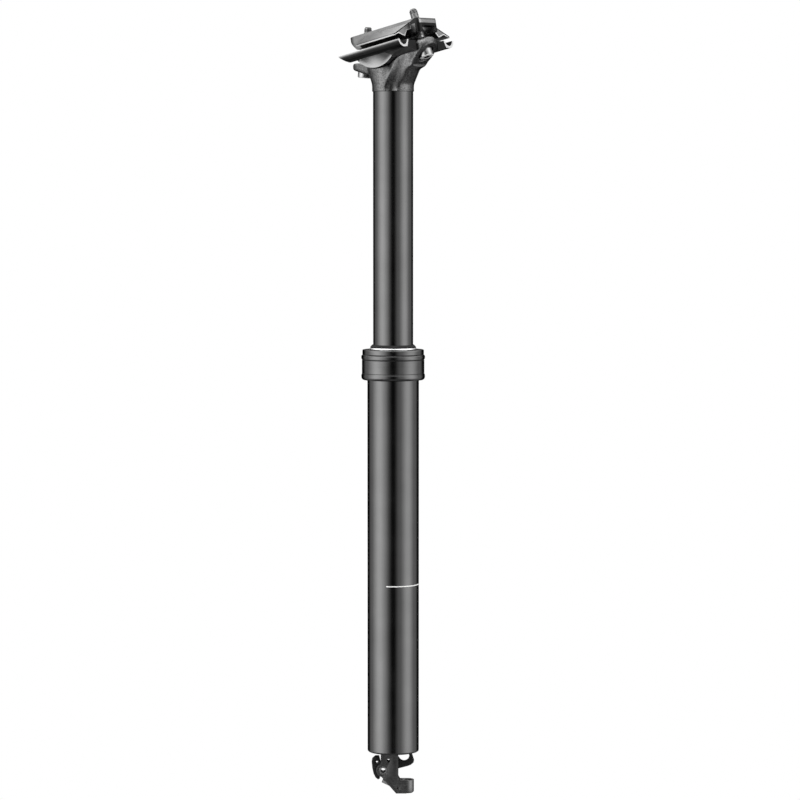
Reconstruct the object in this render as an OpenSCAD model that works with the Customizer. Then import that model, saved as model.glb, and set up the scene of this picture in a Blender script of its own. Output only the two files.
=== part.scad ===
// Dropper seatpost for a 31.6 mm seat tube, with an internal gas spring.
// Drawn fully extended. Millimetres, +Z up the post, bicycle's front towards -X.
// The origin is on the post's axis, at the lower face of the seal collar.

/* [Outer post] */
// Diameter of the outer post, which the frame clamps
tube_d = 31.6; // [30.9:0.1:34.9]
// Wall of the outer post
tube_wall = 1.7; // [1.5:0.1:1.9]
// Rounding of the outer post's lower edge
tube_edge = 1.2; // [0.6:0.1:1.4]
// Length of post that reaches up inside the collar
tube_in_collar = 14; // [12:0.5:15]

/* [Travel] */
// Drop of the saddle
travel = 150; // [100:10:200]
// Length of the inner post that stays inside below the collar when extended
overlap = 60; // [56:1:90]
// Room below the dropped inner post for the end cap and its bumper
end_space = 20; // [18:0.5:30]
// Gap between the wiper and the head when fully dropped
drop_gap = 4.5; // [2:0.5:10]

/* [Inner post] */
// Room for the bushings between the inner post and the outer post's bore
bushing_gap = 1.85; // [1.6:0.05:2]
// Wall of the inner post
inner_wall = 1.75; // [1.6:0.05:1.9]

/* [Seal collar] */
// Height of the collar
collar_h = 18.5; // [17.5:0.5:24]
// How far the collar's top band stands out from the outer post
collar_rise = 3.05; // [2.6:0.05:4]
// How far the two beads stand out from the top band
bead_rise = 0.7; // [0.4:0.1:1.2]
// How far the grip band stands out from the top band
grip_rise = 0.28; // [0.1:0.02:0.35]
// Height of each bead
bead_h = 3.4; // [2.5:0.1:4]
// Height of the top band above the upper bead
top_band_h = 3.3; // [2.5:0.1:4]
// Height of the metal ring on top of the collar
ring_h = 1.1; // [0.8:0.1:1.6]
// Height of the wiper's lip above that ring
lip_h = 1.9; // [1.4:0.1:3]

/* [Bushings and keys] */
// Length of the upper bushing
upper_bush_h = 31; // [20:1:34]
// Length of the lower bushing
lower_bush_h = 12; // [8:1:12]
// Height of the felt oil ring
oil_ring_h = 6; // [3:0.5:6.5]
// Height of the rubber ring that ends the upward stroke
top_bumper_h = 3.5; // [2:0.5:5]
// Number of brass guide keys
key_count = 3; // [2:1:4]
// Width of a guide key
key_w = 4; // [3:0.5:5]
// Length of a guide key
key_h = 12; // [8:1:12]

/* [Gas spring] */
// Gap between the gas cylinder and the inner post
cylinder_gap = 0.3; // [0.2:0.05:0.7]
// Wall of the gas cylinder
cylinder_wall = 1.4; // [1.2:0.1:1.8]
// Diameter of the piston rod
rod_d = 10; // [9:0.5:11]
// Diameter of the release pin inside the rod
pin_d = 3; // [2.4:0.2:3.4]
// Height of the piston
piston_h = 8; // [6:0.5:10]
// Height of the cylinder's end gland
gland_h = 10; // [8:0.5:12]

/* [Head] */
// How far the head's neck stands out around the inner post
neck_lip = 0.55; // [0.3:0.05:1]
// Length of the head's spigot inside the inner post
spigot_h = 26; // [20:1:30]
// Rocker axis, distance behind the post's axis
rocker_x = -4.5; // [-6:0.5:-3]
// Rocker axis, height above the neck's lower edge
rocker_rise = 33; // [32:0.5:35]
// Radius of the rocker
rocker_r = 18.7; // [18:0.1:19]
// Width of the rocker
rocker_w = 28; // [26:0.5:30]
// Radius of the front bolt's pad
front_pad_r = 7.5; // [7:0.1:8.5]
// Radius of the rear bolt's boss
rear_boss_r = 8.3; // [7.5:0.1:8.6]

/* [Saddle clamp] */
// Diameter of a saddle rail
rail_d = 7; // [6.6:0.1:7.4]
// Distance between the two rails
rail_spacing = 44; // [43:0.5:45]
// Tilt of the rails, front low
clamp_tilt = 12; // [10:0.5:14]
// Length of the lower rail channels
channel_l = 47.4; // [44:0.2:50]
// Wall of the lower rail channels
channel_wall = 1.4; // [1.3:0.1:2]
// Width of the upper clamp's spine
spine_w = 19; // [18:0.5:20]
// Gap by which the upper clamp stands off the rails until the bolts are tightened
jaw_gap = 0.3; // [0.2:0.1:1]

/* [Clamp bolts] */
// Thread diameter of the clamp bolts
bolt_d = 5; // [4:0.5:5]
// Length of a clamp bolt under its head
bolt_l = 26; // [25:0.5:28]
// Diameter of a bolt's head
bolt_head_d = 8.5; // [8:0.1:8.8]
// Height of a bolt's head
bolt_head_h = 5; // [4:0.5:5.5]
// Lean of the front bolt, top to the rear
front_lean = 5.5; // [4:0.5:7]
// Lean of the rear bolt, top to the front
rear_lean = 20.8; // [19.5:0.1:22]
// Diameter of a barrel nut
nut_d = 7; // [6.8:0.1:7.2]
// Length of a barrel nut
nut_l = 16; // [15:0.5:16.5]

/* [Actuator] */
// Turn of the actuator about the post's axis
actuator_turn = 38.5; // [0:0.5:90]
// Thickness of the actuator's bracket
bracket_w = 9.2; // [9:0.2:10]
// Thickness of the release lever
lever_w = 4; // [3.6:0.1:4.4]
// Diameter of the lever's pivot pin
pivot_d = 5; // [4.6:0.1:5.4]
// Diameter of the hole through the pivot pin
pivot_bore = 3.1; // [2.6:0.1:3.2]
// Distance of the cable housing cup from the post's axis
cup_x = 8.2; // [8:0.1:8.8]
// Diameter of the bore that takes the cable housing
housing_d = 5.2; // [5:0.1:5.6]
// Depth of that bore
housing_depth = 7; // [6:0.5:7.5]
// Diameter of the set screw in the bracket's lower edge
set_screw_d = 4; // [3.5:0.5:4]

/* [Hidden] */
$fn = 96;

// Clearances
press_gap = 0.05;
mate_gap = 0.05;
running_gap = 0.05;
seat_gap = 0.15;
rest_gap = 0.2;
// A cut reaches this far past what it cuts
over = 1;

// Outer post
tube_r = tube_d / 2;
bore_r = tube_r - tube_wall;
tube_l = travel + overlap + end_space;
tube_bottom = -tube_l;
tube_neck_r = tube_r - 0.4;
cap_recess = 0.4;
base_h = 3;
// The actuator's outline is drawn from this height above the outer post's end
actuator_z = tube_bottom + 1.7;
cap_bottom = actuator_z + cap_recess + base_h;
cap_top = tube_bottom + 13.5;

// Inner post and head levels
inner_r = bore_r - bushing_gap;
inner_bore_r = inner_r - inner_wall;
head_z = collar_h + ring_h + lip_h + drop_gap + travel;
inner_bottom = -overlap;
neck_r = inner_r + neck_lip;
spigot_z = head_z - spigot_h;

// Collar levels
collar_r = tube_r + collar_rise;
bead_r = collar_r + bead_rise;
grip_r = collar_r + grip_rise;
upper_bead_z = collar_h - top_band_h - bead_h / 2;
lower_bead_z = 0.6 + bead_h / 2;
lip_r = inner_r + 1.75;
ring_r = lip_r + 0.45;
wiper_neck_r = inner_r + 0.6;
o_ring_r = 0.6;
o_ring_z = 2.6;

// What stands in the top of the outer post, from the top down
wiper_bottom = tube_in_collar;
oil_ring_z = wiper_bottom - oil_ring_h;
bush_top = oil_ring_z - rest_gap;
bush_bottom = bush_top - upper_bush_h;
bumper_z = bush_bottom - top_bumper_h;
key_top = bumper_z - rest_gap;
key_in = 0.85;
key_out = 0.5;
key_slot_r = bore_r + key_out + rest_gap / 2;
lower_bush_z = inner_bottom + 2;
bush_groove = 0.25;

// Gas spring
cylinder_r = inner_bore_r - cylinder_gap;
cylinder_bore = cylinder_r - cylinder_wall;
cylinder_bottom = inner_bottom + 2;
cylinder_top = spigot_z;
cylinder_end = 4;
stud_r = 4;
stud_h = 16;
rod_r = rod_d / 2;
seal_h = 2.5;
piston_z = cylinder_bottom + gland_h + seal_h + 1.5;
piston_gap = 0.08;
piston_bite = 4;
rod_top = piston_z + piston_bite;
rod_bottom = cap_bottom;
pin_r = pin_d / 2;
pin_gap = 0.3;
spring_pocket_r = 3.2;
spring_pocket_h = 14;
pin_collar_r = 3;
pin_collar_h = 1.5;
pin_collar_z = rod_top - 3.5;
pin_nose_r = 1.4;
pin_nose_h = 3;
spring_wire = 0.7;
spring_r = 2.35;
spring_turns = 6;

// Rocker and rails, in the clamp's own frame: u to the rear, v to the right, w up
rocker_h = rocker_w / 2;
rail_r = rail_d / 2;
rail_w = -8;
rail_v = rail_spacing / 2;
channel_r = rail_r + channel_wall;
channel_front = -18.5;
web_top = rail_w - 0.7;
web_bottom = web_top - 2.5;
spine_h = spine_w / 2;
spine_top = 4.6;
spine_bottom = -3.8;
spine_roof = -0.2;
spine_hollow = 6.2;
spine_nose = 2.2;
// Groove of the upper clamp over each rail: half width, depth and apex
groove_h = 5.45;
groove_deep = 1.75;
groove_w = rail_w + rail_r / cos(atan(groove_deep / groove_h)) + jaw_gap;
lip_w = groove_w - groove_deep;
wing_rear = 26.2;
wing_front = -3.2;
wing_root = -10.2;
wing_v = rail_v + groove_h;

// Bolts: each seat is the point on the bolt's axis under its head
front_seat = [-22.0, 13.6];
rear_seat = [24.5, 25.2];
bolt_r = bolt_d / 2;
bolt_hole_r = bolt_r + 0.8;
bolt_gap = 0.3;
washer_r = 6;
washer_rise = 1.6;
washer_plan_r = 4.6;
washer_drop = washer_r - washer_rise;
pocket_r = 5.2;
nut_r = nut_d / 2;
nut_w = 0.7;

// Height above the clamp frame's origin of a point [x, rise] of the head
function clamp_w(p) = (p[1] - rocker_rise) * cos(clamp_tilt) - (p[0] - rocker_x) * sin(clamp_tilt);
function clamp_u(p) = (p[1] - rocker_rise) * sin(clamp_tilt) + (p[0] - rocker_x) * cos(clamp_tilt);
// Distance along a bolt from its seat to its barrel nut's centre
function nut_reach(seat, lean) = (nut_w - clamp_w(seat)) / cos(lean + clamp_tilt);
function along(seat, lean, s) = [seat[0] + s * sin(lean), seat[1] + s * cos(lean)];
front_reach = nut_reach(front_seat, front_lean);
rear_reach = nut_reach(rear_seat, -rear_lean);
front_nut_u = clamp_u(along(front_seat, front_lean, front_reach));
rear_nut_u = clamp_u(along(rear_seat, -rear_lean, rear_reach));
spine_front = front_nut_u - 8;
spine_rear = rear_nut_u + 8.3;

// Actuator outline, x across and z down from the outer post's end
bracket_h = bracket_w / 2;
slot_h = lever_w / 2 + rest_gap;
pivot = [-6.2, -13];
pivot_r = pivot_d / 2;
lock_hole = [-2.9, -6.9];
lock_hole_r = 1.05;
drain_hole = [2.8, -24.3];
drain_hole_r = 0.6;
link = [0, -11];
link_r = 0.9;
tongue_h = 0.75;
tongue_w = 2.4;
tongue_neck = 1.2;
tongue_slot_w = 3.3;
bracket_left = -7.7;
bracket_right = 3.2;
bracket_bottom = -27.4;
cup_top = -19.3;
cup_r = bracket_h;
notch = [6.7, -4.5];
notch_r = 3.2;
hub_r = 4.2;
heel_hole = [-10, -8.3];
heel_hole_r = 0.75;
screw_end = [-6.3, -19.4];
screw_slope = 25.5;
screw_l = 7.4;

tube_black = "#1b1b1c";
forged_black = "#2c2c2d";
machined_black = "#202021";
bare_grey = "#b4b4b2";
steel = "#8d8d8c";
brass = "#b08d4c";
rubber = "#151515";

module ring(outer, inner, z, h) {
    translate([0, 0, z])
        difference() {
            cylinder(r = outer, h = h);
            translate([0, 0, -over])
                cylinder(r = inner, h = h + 2 * over);
        }
}

// Straight round bar along Y
module cross_bar(r, half, x = 0, z = 0) {
    translate([x, half, z])
        rotate([90, 0, 0])
            cylinder(r = r, h = 2 * half);
}

// Outline in x and z, given its thickness along Y
module plate(half) {
    translate([0, half, 0])
        rotate([90, 0, 0])
            linear_extrude(2 * half)
                children();
}

module in_clamp() {
    translate([rocker_x, 0, head_z + rocker_rise])
        rotate([0, -clamp_tilt, 0])
            children();
}

module in_bolt(seat, lean) {
    translate([seat[0], 0, head_z + seat[1]])
        rotate([0, lean, 0])
            children();
}

module in_actuator() {
    translate([0, 0, actuator_z])
        rotate([0, 0, actuator_turn])
            children();
}

// Outer post and what stands in its two ends

module outer_tube() {
    color(tube_black)
        difference() {
            rotate_extrude()
                difference() {
                    translate([bore_r, tube_bottom])
                        square([tube_wall, tube_l + tube_in_collar]);
                    translate([tube_neck_r, 0])
                        square([tube_wall, tube_in_collar + over]);
                    translate([tube_r - tube_edge, tube_bottom])
                        difference() {
                            translate([0, -over])
                                square([tube_edge + over, tube_edge + over]);
                            translate([0, tube_edge])
                                circle(r = tube_edge);
                        }
                }
            for (i = [0 : key_count - 1])
                rotate([0, 0, i * 360 / key_count])
                    translate([bore_r - over, -key_w / 2 - running_gap, cap_top + 2])
                        cube([key_slot_r - bore_r + over, key_w + 2 * running_gap,
                              key_top + rest_gap - cap_top - 2]);
        }
}

module seal_collar() {
    bead_arc = (pow(bead_h / 2, 2) + pow(bead_rise, 2)) / (2 * bead_rise);
    color(machined_black)
        rotate_extrude()
            difference() {
                union() {
                    translate([lip_r, mate_gap])
                        square([grip_r - lip_r, upper_bead_z - mate_gap]);
                    translate([lip_r, upper_bead_z])
                        square([collar_r - lip_r, collar_h - upper_bead_z]);
                    for (z = [lower_bead_z, upper_bead_z])
                        intersection() {
                            translate([bead_r - bead_arc, z])
                                circle(r = bead_arc);
                            translate([lip_r, z - bead_h / 2])
                                square([bead_r, bead_h]);
                        }
                }
                translate([0, -over])
                    square([tube_neck_r + press_gap, tube_in_collar + over]);
                translate([0, -over])
                    square([lip_r, collar_h + 2 * over]);
                translate([grip_r - 0.5, -1.1])
                    rotate([0, 0, 45])
                        square([2, 2]);
                translate([tube_neck_r, o_ring_z])
                    circle(r = o_ring_r + press_gap);
            }
}

module collar_o_ring() {
    color(rubber)
        rotate_extrude()
            intersection() {
                translate([tube_neck_r, o_ring_z])
                    circle(r = o_ring_r);
                translate([tube_neck_r + press_gap / 2, 0])
                    square([2 * o_ring_r, 2 * o_ring_z]);
            }
}

module wiper_ring() {
    color(bare_grey)
        ring(ring_r, wiper_neck_r + press_gap, collar_h, ring_h);
}

module wiper_seal() {
    lip_z = collar_h + ring_h;
    color(rubber)
        rotate_extrude()
            polygon([
                [inner_r + 0.4, wiper_bottom], [lip_r - press_gap, wiper_bottom],
                [lip_r - press_gap, collar_h], [wiper_neck_r, collar_h],
                [wiper_neck_r, lip_z], [lip_r, lip_z],
                [lip_r, lip_z + 0.7], [inner_r + 0.6, lip_z + lip_h],
                [inner_r + running_gap, lip_z + lip_h], [inner_r + running_gap, lip_z + 0.9],
                [inner_r + 0.4, lip_z - 0.6]]);
}

module oil_ring() {
    color("#8a6f4a")
        ring(bore_r - press_gap, inner_r + 0.1, oil_ring_z, oil_ring_h);
}

module upper_bushing() {
    color("#3f4a42")
        ring(bore_r - press_gap, inner_r + running_gap, bush_bottom, upper_bush_h);
}

module top_out_bumper() {
    color(rubber)
        ring(bore_r - press_gap, inner_r + 0.3, bumper_z, top_bumper_h);
}

module end_cap() {
    color(steel)
        difference() {
            translate([0, 0, cap_bottom])
                cylinder(r = bore_r - press_gap, h = cap_top - cap_bottom);
            translate([0, 0, cap_bottom - over])
                cylinder(r = rod_r + press_gap, h = cap_top - cap_bottom + 2 * over);
            for (i = [0 : 3])
                rotate([0, 0, 45 + 90 * i])
                    translate([(rod_r + bore_r) / 2, 0, cap_top - 4])
                        cylinder(r = 1.6, h = 5);
        }
}

module bottom_out_bumper() {
    color(rubber)
        ring(bore_r - 4.5, rod_r + press_gap, cap_top, 3);
}

// Gas spring

module piston_rod() {
    color("#c9c9c8")
        difference() {
            translate([0, 0, rod_bottom])
                cylinder(r = rod_r, h = rod_top - rod_bottom);
            translate([0, 0, rod_bottom - over])
                cylinder(r = pin_r + pin_gap, h = rod_top - rod_bottom + 2 * over);
            translate([0, 0, rod_top - spring_pocket_h])
                cylinder(r = spring_pocket_r, h = spring_pocket_h + over);
        }
}

module piston() {
    color(steel)
        difference() {
            translate([0, 0, piston_z])
                cylinder(r = cylinder_bore - piston_gap, h = piston_h);
            translate([0, 0, piston_z - over])
                cylinder(r = rod_r + press_gap, h = piston_bite + over);
            translate([0, 0, piston_z])
                cylinder(r = pin_nose_r + pin_gap / 2, h = piston_h + over);
            ring(cylinder_bore + over, cylinder_bore - 1.2, piston_z + piston_h / 2 - 1, 2);
        }
}

module piston_seal() {
    color(rubber)
        ring(cylinder_bore - 0.04, cylinder_bore - 1.2 + press_gap,
             piston_z + piston_h / 2 - 1 + press_gap, 2 - 2 * press_gap);
}

module release_pin() {
    tongue_top = actuator_z - 5;
    color("#c9c9c8")
        union() {
            translate([0, 0, tongue_top])
                cylinder(r = pin_r, h = pin_collar_z - tongue_top);
            translate([0, 0, pin_collar_z])
                cylinder(r = pin_collar_r, h = pin_collar_h);
            translate([0, 0, pin_collar_z + pin_collar_h])
                cylinder(r = pin_nose_r, h = pin_nose_h);
            in_actuator()
                difference() {
                    union() {
                        translate([-tongue_w, -tongue_h, link[1] - tongue_w])
                            cube([2 * tongue_w, 2 * tongue_h, 1.6 + tongue_w]);
                        translate([-tongue_neck, -tongue_h, link[1]])
                            cube([2 * tongue_neck, 2 * tongue_h, 6.6]);
                    }
                    for (x = [-0.5, 0.5])
                        cross_bar(link_r + 0.25, 2, link[0] + x, link[1]);
                    translate([-0.5, -2, link[1] - link_r - 0.25])
                        cube([1, 4, 2 * link_r + 0.5]);
                }
        }
}

// Closed coil spring of round wire, from the pocket's floor to the pin's collar
module valve_spring() {
    floor_z = rod_top - spring_pocket_h;
    rise = pin_collar_z - floor_z - spring_wire - 0.1;
    steps = 12 * spring_turns;
    sides = 6;
    wire_r = spring_wire / 2;
    points = [for (i = [0 : steps])
        let (a = 360 * spring_turns * i / steps,
             z = floor_z + 0.05 + wire_r + rise * i / steps)
        for (k = [0 : sides - 1])
            let (r = spring_r + wire_r * cos(360 * k / sides))
            [r * cos(a), r * sin(a), z + wire_r * sin(360 * k / sides)]];
    walls = [for (i = [0 : steps - 1])
        for (k = [0 : sides - 1])
            let (a = i * sides + k,
                 b = i * sides + (k + 1) % sides)
            each [[a, b + sides, b], [a, a + sides, b + sides]]];
    first = [for (k = [1 : sides - 2]) [0, k, k + 1]];
    last = [for (k = [1 : sides - 2])
        [steps * sides, steps * sides + k + 1, steps * sides + k]];
    color(steel)
        polyhedron(points = points, faces = concat(walls, first, last));
}

module gas_cylinder() {
    color("#2a2d30")
        difference() {
            union() {
                translate([0, 0, cylinder_bottom])
                    cylinder(r = cylinder_r, h = cylinder_top - cylinder_bottom);
                translate([0, 0, cylinder_top])
                    cylinder(r = stud_r, h = stud_h);
            }
            translate([0, 0, cylinder_bottom - over])
                cylinder(r = cylinder_bore, h = cylinder_top - cylinder_end - cylinder_bottom + over);
            for (s = [0, 1])
                mirror([s, 0, 0])
                    translate([stud_r - 1, -stud_r, cylinder_top + stud_h - 3])
                        cube([stud_r, 2 * stud_r, 4]);
        }
}

module cylinder_gland() {
    color(steel)
        ring(cylinder_bore - press_gap, rod_r + running_gap, cylinder_bottom, gland_h);
}

module rod_seal() {
    color(rubber)
        ring(cylinder_bore - press_gap, rod_r + running_gap, cylinder_bottom + gland_h, seal_h);
}

// Inner post

module inner_post() {
    color(tube_black)
        difference() {
            ring(inner_r, inner_bore_r, inner_bottom, head_z - inner_bottom);
            ring(inner_r + over, inner_r - bush_groove, lower_bush_z, lower_bush_h);
            for (i = [0 : key_count - 1])
                rotate([0, 0, i * 360 / key_count])
                    translate([inner_r - key_in - press_gap, -key_w / 2 - press_gap,
                               key_top - key_h - press_gap])
                        cube([5, key_w + 2 * press_gap, key_h + 2 * press_gap]);
        }
}

module lower_bushing() {
    color("#3f4a42")
        difference() {
            ring(bore_r - running_gap, inner_r - bush_groove + press_gap,
                 lower_bush_z + press_gap, lower_bush_h - 2 * press_gap);
            translate([0, -0.75, lower_bush_z - over])
                cube([bore_r + over, 1.5, lower_bush_h + 2 * over]);
        }
}

module guide_keys() {
    color(brass)
        for (i = [0 : key_count - 1])
            rotate([0, 0, i * 360 / key_count])
                translate([inner_r - key_in, -key_w / 2, key_top - key_h])
                    cube([bore_r + key_out - inner_r + key_in, key_w, key_h]);
}

// Forged head

// Flat disc of the head, x behind the post's axis and between two heights above the neck
module disc(x, r, low, high) {
    translate([x, 0, head_z + low])
        cylinder(r = r, h = high - low, $fn = 48);
}

module bolt_pocket(seat, lean) {
    in_bolt(seat, lean) {
        translate([0, 0, -16])
            cylinder(r = pocket_r, h = 16);
        intersection() {
            cylinder(r = pocket_r, h = washer_rise + over);
            cross_bar(washer_r + seat_gap, pocket_r + over, 0, -washer_drop);
        }
        cylinder(r = bolt_hole_r, h = bolt_l);
    }
}

module post_head() {
    boss_low = -7;
    boss_top = 6.5;
    boss_round = 3.5;
    arm_top = 17.5;
    face_angle = 48.7;
    face = [25.2, 21.8];
    face_cut = 40;
    scoop_r = 5;
    scoop = [[8.8, 13.2, 1], [14.5, 12.2, 16], [18.8, 12, 20.5]];
    color(forged_black)
        difference() {
            union() {
                disc(0, neck_r, 0, 5);
                hull() {
                    disc(0, neck_r, 4, 5);
                    disc(-4, 12.4, 13, arm_top);
                }
                hull() {
                    disc(-5.5, 10, 9.5, arm_top);
                    disc(front_seat[0], front_pad_r, 13.4, arm_top);
                }
                hull() {
                    disc(0, neck_r, 4, 5);
                    disc(8.3, 10, 13.5, 15);
                }
                hull() {
                    disc(8.3, 10, 13.5, 18);
                    in_bolt(rear_seat, -rear_lean)
                        translate([0, 0, boss_low])
                            cylinder(r = rear_boss_r, h = boss_top - boss_round - boss_low, $fn = 48);
                }
                in_bolt(rear_seat, -rear_lean)
                    rotate_extrude()
                        union() {
                            square([rear_boss_r, boss_top - boss_round]);
                            square([rear_boss_r - boss_round, boss_top]);
                            translate([rear_boss_r - boss_round, boss_top - boss_round])
                                circle(r = boss_round);
                        }
                translate([0, 0, spigot_z])
                    cylinder(r = inner_bore_r - press_gap, h = spigot_h + over);
            }
            translate([rocker_x, 0, head_z + rocker_rise])
                cross_bar(rocker_r + seat_gap, 30);
            bolt_pocket(front_seat, front_lean);
            bolt_pocket(rear_seat, -rear_lean);
            translate([face[0], 0, head_z + face[1]])
                rotate([0, -face_angle, 0])
                    translate([-face_cut / 5, -face_cut / 2, -face_cut])
                        cube(face_cut);
            for (side = [-1, 1])
                hull()
                    for (p = scoop)
                        translate([p[0], side * p[1], head_z + p[2]])
                            sphere(r = scoop_r, $fn = 24);
            translate([0, 0, spigot_z - over])
                cylinder(r = stud_r + press_gap, h = stud_h + over + 2);
        }
}

// Saddle clamp

// Outline in v and w, drawn along u
module along_rails(front, rear) {
    translate([front, 0, 0])
        rotate([90, 0, 90])
            linear_extrude(rear - front)
                children();
}

module lower_cradle() {
    channel_rear = channel_front + channel_l;
    channel_top = rail_w - 0.3;
    channel_bottom = rail_w - channel_r;
    web_front = -11.5;
    gusset_front = 12;
    gusset_bottom = channel_bottom - 1.9;
    notch_u = 13;
    notch_h = 10.6;
    rocker_wall = 2.6;
    cheek = 2.4;
    bolt_slot_u = -14.6;
    bolt_slot_h = bolt_r + 1;
    color(machined_black)
        in_clamp()
            difference() {
                union() {
                    for (side = [-1, 1])
                        along_rails(channel_front, channel_rear)
                            difference() {
                                translate([side * rail_v, rail_w])
                                    circle(r = channel_r);
                                translate([-2 * rail_v, channel_top])
                                    square([4 * rail_v, channel_r + over]);
                            }
                    along_rails(web_front, channel_rear)
                        translate([-rail_v, web_bottom])
                            square([2 * rail_v, web_top - web_bottom]);
                    for (side = [-1, 1])
                        along_rails(gusset_front, channel_rear)
                            polygon([[side * rail_v, web_bottom],
                                     [side * rail_v, channel_bottom + channel_wall / 2],
                                     [side * notch_h, gusset_bottom],
                                     [side * notch_h, web_bottom]]);
                    intersection() {
                        cross_bar(rocker_r, rocker_h);
                        translate([-rocker_r, -rocker_h - over, -rocker_r - over])
                            cube([2 * rocker_r, rocker_w + 2 * over, rocker_r + over + web_top]);
                    }
                }
                for (side = [-1, 1])
                    along_rails(channel_front - over, channel_rear + over)
                        translate([side * rail_v, rail_w])
                            circle(r = rail_r);
                cross_bar(rocker_r - rocker_wall, rocker_h - cheek);
                translate([notch_u, -notch_h, -rocker_r - over])
                    cube([channel_rear, 2 * notch_h, rocker_r + over]);
                translate([-rocker_r - over, -bolt_slot_h, web_bottom - 2])
                    cube([rocker_r + over + bolt_slot_u, 2 * bolt_slot_h, 6]);
            }
}

module upper_clamp() {
    nose_r = 3;
    tail_r = 6;
    tip_drop = 1.2;
    ridge_v = 5;
    shoulder = [10.6, 2.7];
    under_w = 0.4;
    edge_h = 0.9;
    half = [[ridge_v, spine_top], shoulder, [wing_v, lip_w + edge_h], [wing_v, lip_w],
            [rail_v, groove_w], [rail_v - groove_h, lip_w], [rail_v - groove_h - 3.1, lip_w + 3.7],
            [shoulder[0], under_w - 2], [ridge_v, under_w]];
    color(machined_black)
        in_clamp()
            difference() {
                union() {
                    intersection() {
                        plate(spine_h)
                            polygon([[spine_front, spine_top - tip_drop],
                                     [spine_front + 1.6, spine_top],
                                     [spine_rear - 1.2, spine_top], [spine_rear, spine_top - 1.2],
                                     [spine_rear, spine_bottom + 0.4],
                                     [spine_rear - 0.6, spine_bottom],
                                     [spine_front + 6.6, spine_bottom]]);
                        translate([0, 0, spine_bottom - over])
                            linear_extrude(spine_top - spine_bottom + 2 * over)
                                hull()
                                    for (side = [-1, 1]) {
                                        translate([spine_rear - nose_r, side * (spine_h - nose_r)])
                                            circle(r = nose_r, $fn = 32);
                                        translate([spine_front + tail_r, side * (spine_h - tail_r)])
                                            circle(r = tail_r, $fn = 48);
                                    }
                    }
                    intersection() {
                        along_rails(wing_root - 4, wing_rear)
                            polygon(concat(half, [for (i = [len(half) - 1 : -1 : 0])
                                [-half[i][0], half[i][1]]]));
                        translate([0, 0, -rocker_r])
                            linear_extrude(2 * rocker_r)
                                polygon([[wing_front, -wing_v], [wing_rear, -wing_v],
                                         [wing_rear, wing_v], [wing_front, wing_v],
                                         [wing_root, spine_h], [wing_root - 3, 4],
                                         [wing_root - 3, -4], [wing_root, -spine_h]]);
                    }
                }
                translate([spine_front + spine_nose, -spine_hollow, spine_bottom - over])
                    cube([spine_rear - spine_front, 2 * spine_hollow,
                          spine_roof - spine_bottom + over]);
                for (u = [front_nut_u, rear_nut_u]) {
                    cross_bar(nut_r + press_gap, nut_l / 2 + press_gap, u, nut_w);
                    translate([u - nut_r - press_gap, -nut_l / 2 - press_gap, nut_w])
                        cube([2 * (nut_r + press_gap), nut_l + 2 * press_gap, 10]);
                }
                translate([front_nut_u, -bolt_hole_r, nut_w])
                    cube([nut_r + 2, 2 * bolt_hole_r, 10]);
            }
}

module clamp_bolt(seat, lean) {
    socket_r = 2 / cos(30);
    tip = 0.6;
    color(steel)
        in_bolt(seat, lean)
            difference() {
                union() {
                    cylinder(r = bolt_r, h = bolt_l - tip);
                    translate([0, 0, bolt_l - tip])
                        cylinder(r1 = bolt_r, r2 = bolt_r - tip, h = tip);
                    translate([0, 0, -bolt_head_h])
                        cylinder(d = bolt_head_d, h = bolt_head_h);
                }
                translate([0, 0, -bolt_head_h - over])
                    cylinder(r = socket_r, h = 2.6 + over, $fn = 6);
            }
}

// Half-round washer on which a bolt's head rocks
module half_round_washer(seat, lean) {
    color(steel)
        in_bolt(seat, lean)
            difference() {
                intersection() {
                    cylinder(r = washer_plan_r, h = washer_r);
                    cross_bar(washer_r, washer_r, 0, -washer_drop);
                }
                translate([0, 0, -over])
                    cylinder(r = bolt_r + press_gap, h = washer_r + 2 * over);
            }
}

module barrel_nut(seat, lean, reach) {
    color(steel)
        in_bolt(seat, lean)
            translate([0, 0, reach])
                difference() {
                    cross_bar(nut_r, nut_l / 2);
                    translate([0, 0, -nut_r - over])
                        cylinder(r = bolt_r + bolt_gap, h = 2 * (nut_r + over));
                }
}

module front_bolt() {
    clamp_bolt(front_seat, front_lean);
}

module front_washer() {
    half_round_washer(front_seat, front_lean);
}

module front_barrel_nut() {
    barrel_nut(front_seat, front_lean, front_reach);
}

module rear_bolt() {
    clamp_bolt(rear_seat, -rear_lean);
}

module rear_washer() {
    half_round_washer(rear_seat, -rear_lean);
}

module rear_barrel_nut() {
    barrel_nut(rear_seat, -rear_lean, rear_reach);
}

// Actuator below the outer post

module bracket_outline() {
    union() {
        polygon([[bracket_left, cap_recess], [bracket_right, cap_recess],
                 [bracket_right, cup_top + 1.7], [bracket_right + 1, cup_top],
                 [cup_x, cup_top], [cup_x, bracket_bottom], [bracket_right - 1.4, bracket_bottom],
                 [bracket_left + 0.8, pivot[1] - hub_r - 0.3], [bracket_left, pivot[1] - 3]]);
        translate(pivot)
            circle(r = hub_r);
    }
}

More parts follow.
